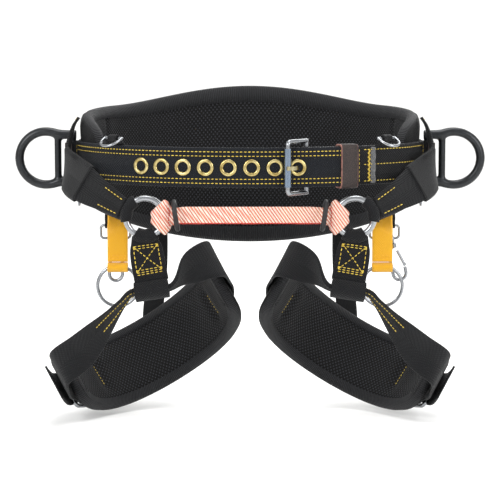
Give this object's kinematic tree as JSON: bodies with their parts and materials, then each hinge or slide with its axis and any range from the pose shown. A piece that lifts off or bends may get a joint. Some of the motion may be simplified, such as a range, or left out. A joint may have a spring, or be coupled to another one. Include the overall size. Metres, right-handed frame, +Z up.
{
  "type": "tree climbing harness",
  "caption": "Padded waist belt with side D-rings and a tongue buckle at the front, front rings joined by a webbing bridge, and padded leg loops hung below.",
  "frame": {"origin": "middle of the waist opening, at the height of the side D-rings", "axes": "+Z up, -Y towards the buckle at the front, +X to the right of someone facing the buckle"},
  "size_m": [0.549, 0.3153, 0.3827],
  "materials": {
    "mesh_cloth": "black air-mesh lining over the foam",
    "cover_cloth": "black woven nylon cover",
    "foam": "grey closed-cell foam",
    "binding_tape": "black ribbed binding tape",
    "black_webbing": "black polyester webbing with yellow stitching",
    "elastic": "black knitted elastic",
    "yellow_webbing": "golden yellow webbing",
    "bridge_webbing": "red and white striped tubular webbing",
    "brass": "polished brass",
    "steel": "bright plated steel",
    "forged_black": "black anodised, satin",
    "leather": "dark brown leather with a pale cut edge",
    "rubber": "black, moulded"
  },
  "bodies": {
    "belt": {"waist_pad_cover": "cover_cloth", "waist_pad_foam": "foam", "waist_pad_lining": "mesh_cloth", "waist_pad_binding": "binding_tape", "support_belt": "black_webbing", "billet_strap": "black_webbing", "eyelets": "brass", "buckle_strap": "black_webbing", "d_loop_left": "black_webbing", "d_loop_right": "black_webbing", "d_sleeves": "leather", "hip_strap_left": "black_webbing", "hip_strap_right": "black_webbing", "hip_keeper_left": "elastic", "hip_keeper_right": "elastic", "bridge": "bridge_webbing", "gear_tabs": "black_webbing", "side_tabs": "black_webbing", "hanger_left": "black_webbing", "hanger_right": "black_webbing", "yellow_tab_left": "yellow_webbing", "yellow_tab_right": "yellow_webbing"},
    "buckle_frame": {"buckle_frame": "steel"},
    "buckle_roller": {"buckle_roller": "steel"},
    "buckle_tongue": {"buckle_tongue": "steel"},
    "leather_keeper": {"leather_keeper": "leather"},
    "d_ring_left": {"d_ring_left": "forged_black"},
    "front_ring_left": {"front_ring_left": "steel"},
    "rubber_ring_left": {"rubber_ring_left": "rubber"},
    "gear_ring_left": {"gear_ring_left": "steel"},
    "side_ring_left": {"side_ring_left": "steel"},
    "tab_ring_left": {"tab_ring_left": "steel"},
    "link_left": {"link_left": "steel"},
    "snap_hook_left": {"snap_hook_left": "steel"},
    "snap_gate_left": {"snap_gate_left": "steel"},
    "leg_loop_left": {"riser_left": "black_webbing", "leg_strap_left": "black_webbing", "leg_cover_left": "cover_cloth", "leg_foam_left": "foam", "leg_lining_left": "mesh_cloth", "leg_binding_left": "binding_tape", "leg_buckle_left": "steel", "rear_strap_left": "elastic"},
    "d_ring_right": {"d_ring_right": "forged_black"},
    "front_ring_right": {"front_ring_right": "steel"},
    "rubber_ring_right": {"rubber_ring_right": "rubber"},
    "gear_ring_right": {"gear_ring_right": "steel"},
    "side_ring_right": {"side_ring_right": "steel"},
    "tab_ring_right": {"tab_ring_right": "steel"},
    "link_right": {"link_right": "steel"},
    "snap_hook_right": {"snap_hook_right": "steel"},
    "snap_gate_right": {"snap_gate_right": "steel"},
    "leg_loop_right": {"riser_right": "black_webbing", "leg_strap_right": "black_webbing", "leg_cover_right": "cover_cloth", "leg_foam_right": "foam", "leg_lining_right": "mesh_cloth", "leg_binding_right": "binding_tape", "leg_buckle_right": "steel", "rear_strap_right": "elastic"}
  },
  "joints": [
    {"name": "buckle_lift", "type": "hinge", "parent": "belt", "child": "buckle_frame", "pos_m": [0.06219, -0.13529, 0], "axis": [0, 0, 1], "range_deg": [0, 4]},
    {"name": "tongue_lift", "type": "hinge", "parent": "buckle_frame", "child": "buckle_tongue", "pos_m": [0.06219, -0.13529, 0], "axis": [0, 0, 1], "range_deg": [0, 4]},
    {"name": "roller_turn", "type": "hinge", "parent": "buckle_frame", "child": "buckle_roller", "pos_m": [0.04123, -0.15675, 0], "axis": [0, 0, 1], "continuous": true},
    {"name": "keeper_slide", "type": "hinge", "parent": "belt", "child": "leather_keeper", "pos_m": [0.01357, 0.07, 0], "axis": [0, 0, 1], "range_deg": [-2.5, 2.5]},
    {"name": "d_ring_left_turn", "type": "hinge", "parent": "belt", "child": "d_ring_left", "pos_m": [-0.20725, 0, 0], "axis": [0, 0, 1], "range_deg": [-60, 60]},
    {"name": "front_ring_left_turn", "type": "hinge", "parent": "belt", "child": "front_ring_left", "pos_m": [-0.116, -0.135, -0.056], "axis": [0, 1, 0], "continuous": true},
    {"name": "rubber_ring_left_slide", "type": "slide", "parent": "belt", "child": "rubber_ring_left", "axis": [1, 0, 0], "range_m": [0, 0.06]},
    {"name": "gear_ring_left_swing", "type": "hinge", "parent": "belt", "child": "gear_ring_left", "pos_m": [-0.1519, -0.10755, 0.03], "axis": [0.7755, -0.6314, 0], "range_deg": [-60, 30]},
    {"name": "side_ring_left_swing", "type": "hinge", "parent": "belt", "child": "side_ring_left", "pos_m": [-0.2012, 0.014, -0.04], "axis": [0, 1, 0], "range_deg": [0, 70]},
    {"name": "tab_ring_left_swing", "type": "hinge", "parent": "belt", "child": "tab_ring_left", "pos_m": [-0.162, 0.098, -0.1408], "axis": [1, 0, 0], "range_deg": [-18, 2]},
    {"name": "link_left_swing", "type": "hinge", "parent": "belt", "child": "link_left", "pos_m": [-0.165, 0.108, -0.09], "axis": [1, 0, 0], "range_deg": [0, 30]},
    {"name": "snap_hook_left_swing", "type": "hinge", "parent": "link_left", "child": "snap_hook_left", "pos_m": [-0.165, 0.108, -0.106], "axis": [1, 0, 0], "range_deg": [0, 25]},
    {"name": "snap_gate_left_turn", "type": "hinge", "parent": "snap_hook_left", "child": "snap_gate_left", "pos_m": [-0.173, 0.108, -0.1405], "axis": [0, 1, 0], "range_deg": [0, 10], "stiffness_Nm_per_rad": 0.02, "springref_deg": -17.19},
    {"name": "leg_loop_left_swing", "type": "hinge", "parent": "belt", "child": "leg_loop_left", "pos_m": [-0.116, -0.135, -0.077], "axis": [1, 0, 0], "range_deg": [-12, 2], "stiffness_Nm_per_rad": 3, "springref_deg": 8.59, "deforming": ["rear_strap_left"]},
    {"name": "d_ring_right_turn", "type": "hinge", "parent": "belt", "child": "d_ring_right", "pos_m": [0.20725, 0, 0], "axis": [0, 0, 1], "range_deg": [-60, 60]},
    {"name": "front_ring_right_turn", "type": "hinge", "parent": "belt", "child": "front_ring_right", "pos_m": [0.116, -0.135, -0.056], "axis": [0, 1, 0], "continuous": true},
    {"name": "rubber_ring_right_slide", "type": "slide", "parent": "belt", "child": "rubber_ring_right", "axis": [-1, 0, 0], "range_m": [0, 0.06]},
    {"name": "gear_ring_right_swing", "type": "hinge", "parent": "belt", "child": "gear_ring_right", "pos_m": [0.1519, -0.10755, 0.03], "axis": [0.7755, 0.6314, 0], "range_deg": [-60, 30]},
    {"name": "side_ring_right_swing", "type": "hinge", "parent": "belt", "child": "side_ring_right", "pos_m": [0.2012, 0.014, -0.04], "axis": [0, 1, 0], "range_deg": [-70, 0]},
    {"name": "tab_ring_right_swing", "type": "hinge", "parent": "belt", "child": "tab_ring_right", "pos_m": [0.162, 0.098, -0.1408], "axis": [1, 0, 0], "range_deg": [-18, 2]},
    {"name": "link_right_swing", "type": "hinge", "parent": "belt", "child": "link_right", "pos_m": [0.165, 0.108, -0.09], "axis": [1, 0, 0], "range_deg": [0, 30]},
    {"name": "snap_hook_right_swing", "type": "hinge", "parent": "link_right", "child": "snap_hook_right", "pos_m": [0.165, 0.108, -0.106], "axis": [1, 0, 0], "range_deg": [0, 25]},
    {"name": "snap_gate_right_turn", "type": "hinge", "parent": "snap_hook_right", "child": "snap_gate_right", "pos_m": [0.18981, 0.108, -0.1381], "axis": [0, 1, 0], "range_deg": [-10, 0], "stiffness_Nm_per_rad": 0.02, "springref_deg": 17.19},
    {"name": "leg_loop_right_swing", "type": "hinge", "parent": "belt", "child": "leg_loop_right", "pos_m": [0.116, -0.135, -0.077], "axis": [1, 0, 0], "range_deg": [-12, 2], "stiffness_Nm_per_rad": 3, "springref_deg": 8.59, "deforming": ["rear_strap_right"]}
  ]
}
